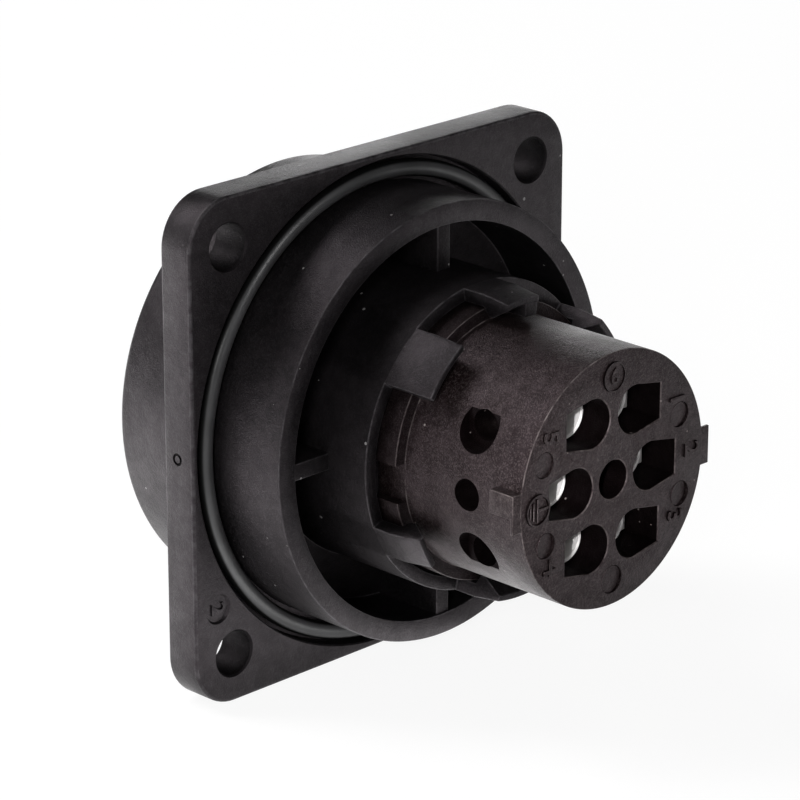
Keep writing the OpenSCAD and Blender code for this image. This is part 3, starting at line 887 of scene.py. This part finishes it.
# digits have a place and a relative size, the text's extrusion and bevel are shares of its height
signs = {"height": 0.15, "foot": -0.1, "digitSize": 2.0, "digitSpin": -90.0,
         "digits": {"1": (6.08, 4.13, 1.0), "2": (7.66, 0.18, 1.0), "3": (6.1, -4.22, 1.0),
                    "4": (-6.0, -4.55, 1.2), "5": (-6.2, 4.5, 1.0)},
         "textExtrude": 0.75, "textBevel": 0.2, "textWeld": 0.0005, "ringSteps": 48,
         "earthAt": (-7.33, -0.18), "earthRing": 1.03, "earthRingWidth": 0.18, "barSoft": 0.03,
         "earthBars": [((-0.09, -0.05), (0.09, 0.95)), ((-0.8, -0.14), (0.8, 0.05)),
                       ((-0.62, -0.48), (0.62, -0.32)), ((-0.36, -0.8), (0.36, -0.66))],
         "topRing": 0.98, "topRingWidth": 0.13, "topRingHeight": 0.08,
         "topDigit": 1.6, "topDigitHeight": 0.09, "plateDigit": 1.7, "plateDigitHeight": 0.12,
         "sideBelow": 0.35, "edgeBelow": 0.9}


def makeText(s, body, size, height):
    curve = bpy.data.curves.new("sign", "FONT")
    curve.body, curve.size = body, size
    curve.align_x, curve.align_y = "CENTER", "CENTER"
    curve.extrude, curve.bevel_depth = height * s["textExtrude"], height * s["textBevel"]
    curve.bevel_resolution = 1
    carrier = bpy.data.objects.new("sign", curve)
    bpy.context.scene.collection.objects.link(carrier)
    bpy.context.view_layer.update()
    mesh = bpy.data.meshes.new_from_object(carrier.evaluated_get(bpy.context.evaluated_depsgraph_get()))
    bpy.data.objects.remove(carrier)
    bpy.data.curves.remove(curve)
    bm = bmesh.new()
    bm.from_mesh(mesh)
    bpy.data.meshes.remove(mesh)
    bmesh.ops.remove_doubles(bm, verts=bm.verts[:], dist=s["textWeld"])
    return bm


def makeRing(s, radius, width, height):
    bm = bmesh.new()
    section = [(radius - width / 2, s["foot"]), (radius - width / 3, height), (radius + width / 3, height),
               (radius + width / 2, s["foot"])]
    verts = [bm.verts.new((r, 0, z)) for r, z in section]
    edges = [bm.edges.new(pair) for pair in zip(verts, verts[1:] + verts[:1])]
    bmesh.ops.spin(bm, geom=verts + edges, cent=(0, 0, 0), axis=(0, 0, 1), dvec=(0, 0, 0),
                   angle=math.radians(360), steps=s["ringSteps"], use_merge=True)
    closeShape(bm)
    return bm


def makeEarthSign(s):
    bm = makeRing(s, s["earthRing"], s["earthRingWidth"], s["height"])
    for low, high in s["earthBars"]:
        gather(bm, makeBox((*low, s["foot"]), (*high, s["height"]), s["barSoft"], segments=1))
    return bm


def shadeSigns(bm, s):
    # painted shade darkens the signs' sides and painted highlight lightens their upper edges
    bm.normal_update()
    rim = rimLayer(bm)
    for face in bm.faces:
        rise = -face.normal.y
        face[rim] = -1.0 if rise < s["sideBelow"] else 1.0 if rise < s["edgeBelow"] else 0.0


def addSigns(s, rear):
    faceSigns, spin = bmesh.new(), s["digitSpin"]
    for digit, (x, z, size) in s["digits"].items():
        text = makeText(s, digit, s["digitSize"] * size, s["height"])
        gather(faceSigns, text, atWiringSide(x, z, rear, spin))
    gather(faceSigns, makeEarthSign(s), atWiringSide(*s["earthAt"], rear, spin))
    top = atWiringSide(*insertCarrier["padAt"], rear + insertCarrier["padHeight"])
    gather(faceSigns, makeRing(s, s["topRing"], s["topRingWidth"], s["topRingHeight"]), top)
    gather(faceSigns, makeText(s, "6", s["topDigit"], s["topDigitHeight"]), top)
    shadeSigns(faceSigns, s)
    keepPiece("terminalSigns", faceSigns, insertPlastic, "receptacle")
    plateSigns = makeText(s, "2", s["plateDigit"], s["plateDigitHeight"])
    place = atWiringSide(*flangePlate["markAt"], -flangePlate["markDepth"], spin)
    bmesh.ops.transform(plateSigns, matrix=place, verts=plateSigns.verts[:])
    shadeSigns(plateSigns, s)
    keepPiece("mouldNumber", plateSigns, housingPlastic, "receptacle")


addSigns(signs, insertCarrier["rear"])


# Floor, in metres like all of the stage

paleFloor = {"height": -0.018, "radius": 1.4, "steps": 96, "color": (0.80, 0.80, 0.80),
             "seenColor": (0.16, 0.16, 0.16), "seenGlow": 0.9, "mirroredGlow": (0.28, 1.0),
             "glowFrom": (-0.03, 0.03)}


def floorPaint(s):
    # paint that takes a soft shadow, and glows for the camera and in reflections
    material = bpy.data.materials.new("paleFloor")
    material.use_nodes = True
    tree = material.node_tree
    tree.nodes.remove(tree.nodes["Principled BSDF"])
    paint = tree.nodes.new("ShaderNodeBsdfDiffuse")
    glow = tree.nodes.new("ShaderNodeEmission")
    both = tree.nodes.new("ShaderNodeAddShader")
    rays = tree.nodes.new("ShaderNodeLightPath").outputs
    place = tree.nodes.new("ShaderNodeTexCoord").outputs["Object"]
    seen = rays["Is Camera Ray"]
    mirrored = addMath(tree, "MAXIMUM", rays["Is Glossy Ray"], rays["Is Transmission Ray"])
    tree.links.new(mixColor(tree, seen, s["color"], s["seenColor"]), paint.inputs["Color"])
    pool = addRange(tree, axisPlace(tree, place), *s["glowFrom"], *s["mirroredGlow"])
    level = addMath(tree, "ADD", addMath(tree, "MULTIPLY", seen, s["seenGlow"]),
                    addMath(tree, "MULTIPLY", mirrored, pool))
    glow.inputs["Color"].default_value = (1, 1, 1, 1)
    tree.links.new(level, glow.inputs["Strength"])
    tree.links.new(paint.outputs[0], both.inputs[0])
    tree.links.new(glow.outputs[0], both.inputs[1])
    tree.links.new(both.outputs[0], tree.nodes["Material Output"].inputs["Surface"])
    return material


def makeFloor(s):
    bm = bmesh.new()
    bmesh.ops.create_circle(bm, cap_ends=True, segments=s["steps"], radius=s["radius"])
    bmesh.ops.translate(bm, vec=(0, 0, s["height"]), verts=bm.verts[:])
    mesh = bpy.data.meshes.new("paleFloor")
    bm.to_mesh(mesh)
    bm.free()
    mesh.materials.append(floorPaint(s))
    floor = bpy.data.objects.new("paleFloor", mesh)
    bpy.context.scene.collection.objects.link(floor)


# Light: name, place, target, size, spread in degrees and power of each lamp

lamps = [("floorPool", (-0.085, 0.075, 0.085), (-0.075, 0.065, -0.018), (0.05, 0.05), 70, 0.045),
         ("tableUnder", (-0.012, -0.0095, -0.0177), (-0.012, -0.0095, 0.1), (0.032, 0.009), 180, 0.0015),
         ("tableLeft", (-0.045, 0.02, -0.0177), (-0.045, 0.02, 0.1), (0.05, 0.03), 180, 0.0045),
         ("tableRight", (0.04, -0.06, -0.0177), (0.04, -0.06, 0.1), (0.07, 0.04), 180, 0.006),
         ("backLow", (-0.30, 0.30, 0.11), (0, 0, 0), (0.12, 0.12), 180, 0.12),
         ("backLeft", (-0.22, 0.32, 0.33), (0, 0, 0), (0.15, 0.15), 180, 0.69),
         ("backHigh", (-0.12, 0.20, 0.42), (0, 0, 0), (0.15, 0.15), 180, 0.66),
         ("backRight", (0.36, 0.31, 0.115), (0, 0, 0), (0.15, 0.15), 180, 0.32),
         ("topBox", (-0.05, -0.10, 0.65), (0, 0, 0), (0.5, 0.5), 180, 0.15),
         ("front", (0.05, -0.45, 0.19), (0, 0, 0), (0.15, 0.15), 180, 0.45),
         ("nearFill", (-0.385, -0.275, 0.17), (0, 0, 0), (0.10, 0.10), 180, 0.9)]
snoot = {"place": (-0.385, -0.296, 0.17), "target": (-0.0076, -0.0213, 0.0030), "angle": 1.6, "blend": 0.25,
         "radius": 0.004, "power": 12.0}
roomLevel = 0.01


def aimLamp(data, place, target):
    lamp = bpy.data.objects.new(data.name, data)
    lamp.location = place
    lamp.rotation_euler = (Vector(target) - Vector(place)).to_track_quat("-Z", "Y").to_euler()
    bpy.context.scene.collection.objects.link(lamp)
    return lamp


def addLamp(name, place, target, size, spread, power):
    data = bpy.data.lights.new(name, "AREA")
    data.shape, data.energy, data.spread = "RECTANGLE", power, math.radians(spread)
    data.size, data.size_y = size
    aimLamp(data, place, target).visible_camera = False


def addSnoot(s):
    # narrow beam into the wire entries
    data = bpy.data.lights.new("snoot", "SPOT")
    data.spot_size, data.spot_blend = math.radians(s["angle"]), s["blend"]
    data.shadow_soft_size, data.energy = s["radius"], s["power"]
    aimLamp(data, s["place"], s["target"])


def addWorld(level):
    world = bpy.data.worlds.new("studioWorld")
    world.use_nodes = True
    shade = world.node_tree.nodes["Background"]
    shade.inputs["Color"].default_value = (1, 1, 1, 1)
    shade.inputs["Strength"].default_value = level
    bpy.context.scene.world = world


# Camera, fitted to the photo

viewpoint = {"lens": 176.45, "sensor": 36.0, "clip": (0.01, 10.0), "distance": 0.2721,
             "azimuth": -45.047, "elevation": 19.649, "shiftRight": 0.001043, "shiftUp": 0.000168}


def addCamera(s):
    a, e = math.radians(s["azimuth"]), math.radians(s["elevation"])
    back = Vector((math.sin(a) * math.cos(e), -math.cos(a) * math.cos(e), math.sin(e)))
    right = Vector((math.cos(a), math.sin(a), 0.0))
    up = back.cross(right)
    data = bpy.data.cameras.new("viewCamera")
    data.lens, data.sensor_width = s["lens"], s["sensor"]
    data.clip_start, data.clip_end = s["clip"]
    camera = bpy.data.objects.new("viewCamera", data)
    basis = Matrix((right, up, back)).transposed()
    place = right * s["shiftRight"] + up * s["shiftUp"] + back * s["distance"]
    camera.matrix_world = Matrix.Translation(place) @ basis.to_4x4()
    bpy.context.scene.collection.objects.link(camera)
    bpy.context.scene.camera = camera


makeFloor(paleFloor)
for lamp in lamps:
    addLamp(*lamp)
addSnoot(snoot)
addCamera(viewpoint)
addWorld(roomLevel)
bpy.context.scene.view_settings.view_transform = "Standard"
print("stage ready")
